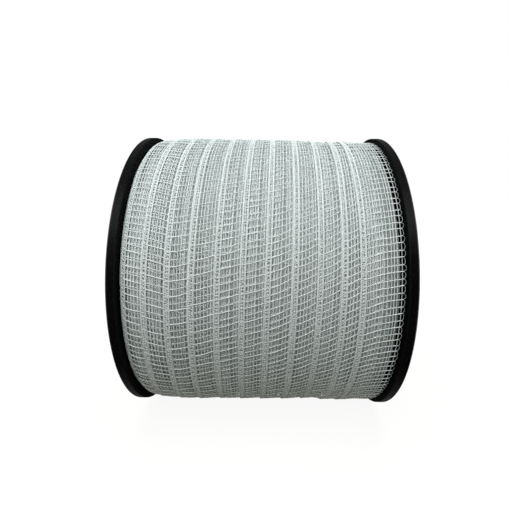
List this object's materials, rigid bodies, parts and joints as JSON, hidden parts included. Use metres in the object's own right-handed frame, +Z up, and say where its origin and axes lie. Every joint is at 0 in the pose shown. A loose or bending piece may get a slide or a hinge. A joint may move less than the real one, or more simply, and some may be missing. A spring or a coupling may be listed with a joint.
{
  "type": "wound tape reel",
  "caption": "Two-flange black plastic reel, wound edge to edge with a narrow open-weave mesh tape in overlapping helical turns, with a spindle bore through its core.",
  "frame": {"origin": "centre of the reel, on the arbor's axis, halfway between the flanges", "axes": "+X along the reel's axis towards the flange where the winding ends, +Z up, -Y towards the viewer of the front"},
  "size_m": [0.1368, 0.16, 0.16],
  "materials": {
    "reel_plastic": "injection-moulded black, satin gloss",
    "mesh_tape": "woven white monofilament, slightly translucent",
    "clear_tape": "clear adhesive film"
  },
  "bodies": {
    "root": {"left_flange": "reel_plastic", "right_flange": "reel_plastic", "core_tube": "reel_plastic", "tape_start": "mesh_tape", "inner_layers": "mesh_tape", "under_pass": "mesh_tape", "top_pass": "mesh_tape", "tail_strip": "clear_tape"}
  },
  "joints": []
}
